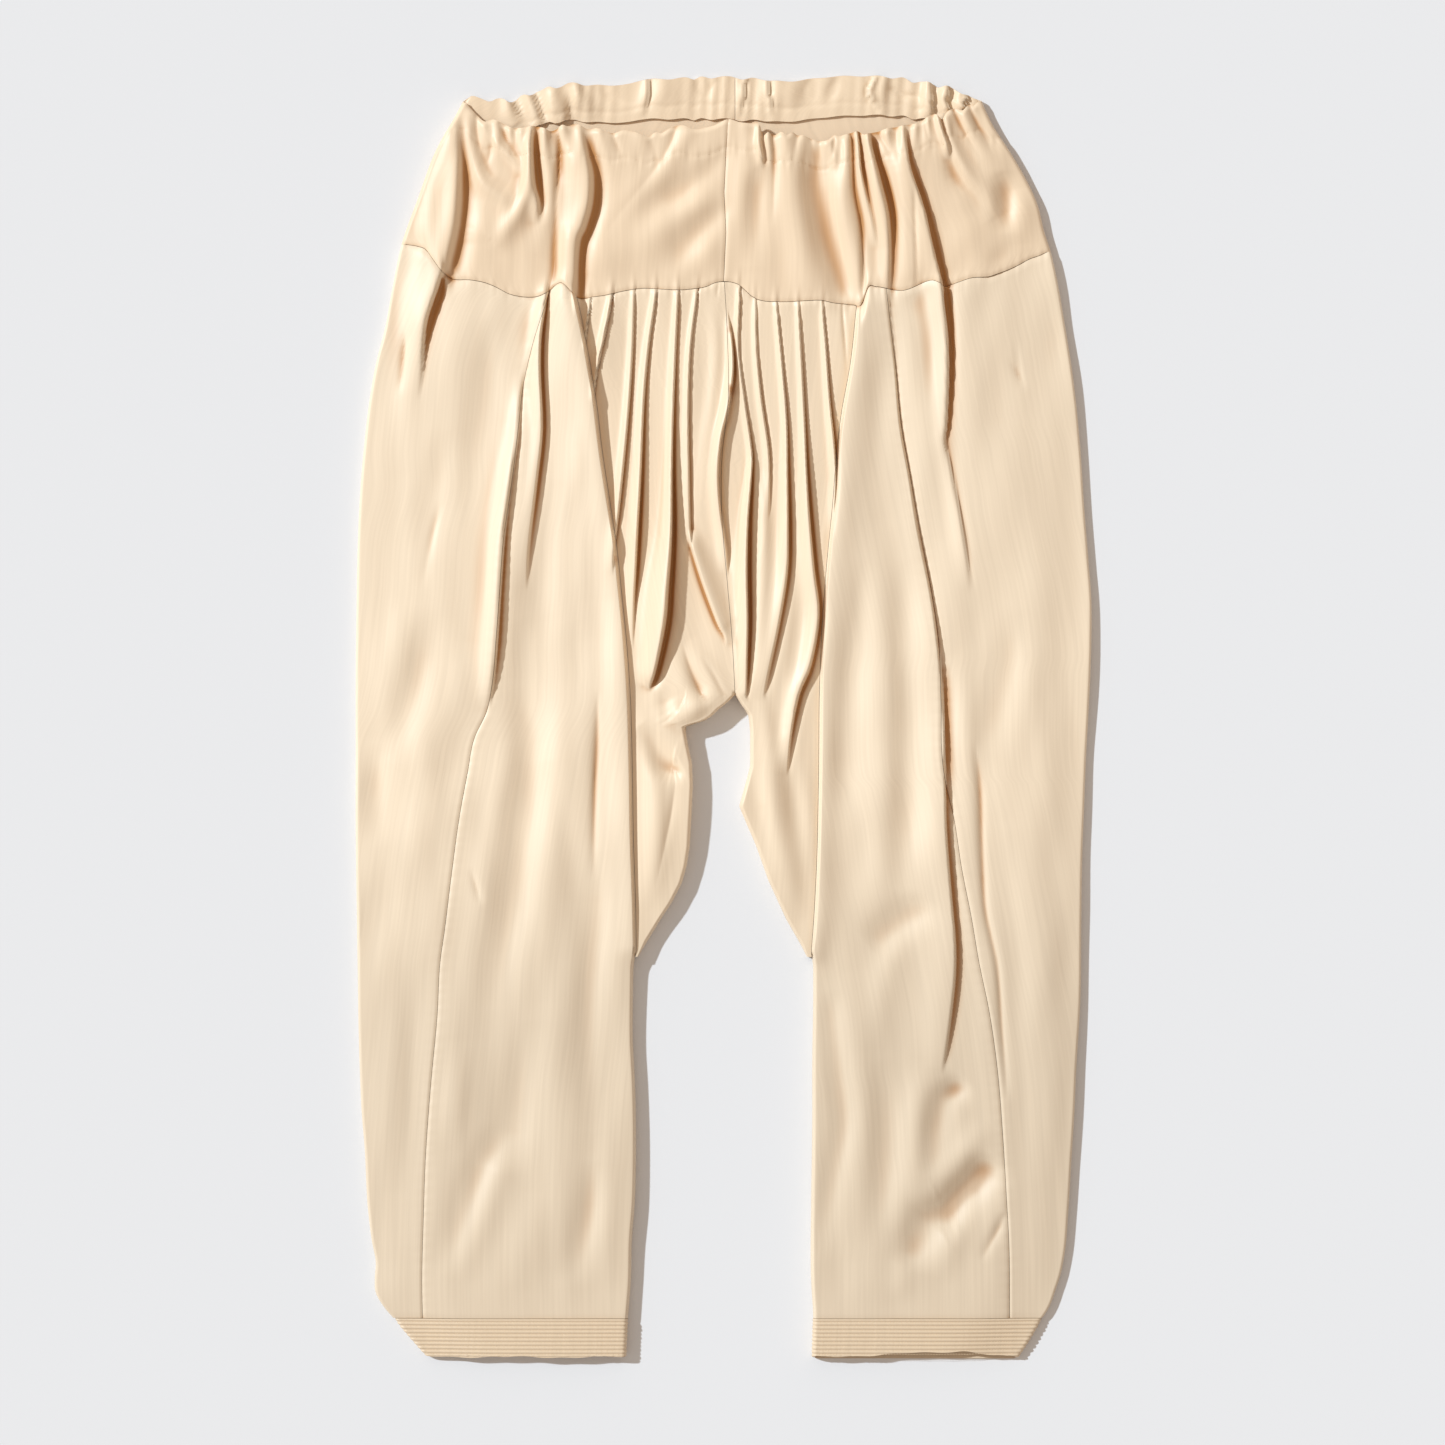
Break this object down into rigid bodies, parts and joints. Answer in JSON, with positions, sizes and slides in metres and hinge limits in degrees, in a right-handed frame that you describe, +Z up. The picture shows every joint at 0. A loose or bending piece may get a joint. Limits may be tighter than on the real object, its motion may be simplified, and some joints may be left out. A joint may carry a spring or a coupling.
{
  "type": "patiala salwar",
  "caption": "Patiala salwar trousers laid flat, front up: wide gathered belt, deep pleated gusset between the legs, tapering legs and quilted hem bands.",
  "frame": {"origin": "on the table under the middle of the footprint of the salwar laid flat", "axes": "+X to the right of the front view, +Y from the hems to the waist, +Z up from the table through the front"},
  "size_m": [0.5511, 0.9601, 0.0183],
  "materials": {
    "belt_satin": "satin weave, soft sheen",
    "casing_satin": "satin weave, soft sheen",
    "leg_satin": "satin weave, soft sheen",
    "gusset_satin": "satin weave, soft sheen",
    "hem_satin": "satin weave with rows of topstitching"
  },
  "bodies": {
    "root": {"belt_left": "belt_satin", "belt_right": "belt_satin", "waist_casing_left": "casing_satin", "waist_casing_right": "casing_satin", "side_panel_left": "leg_satin", "side_panel_right": "leg_satin", "leg_panel_front_left": "leg_satin", "leg_panel_front_right": "leg_satin", "leg_panel_back_left": "leg_satin", "leg_panel_back_right": "leg_satin", "gusset_front_left": "gusset_satin", "gusset_front_right": "gusset_satin", "gusset_back_left": "gusset_satin", "gusset_back_right": "gusset_satin", "hem_band_left": "hem_satin", "hem_band_right": "hem_satin"}
  },
  "joints": []
}
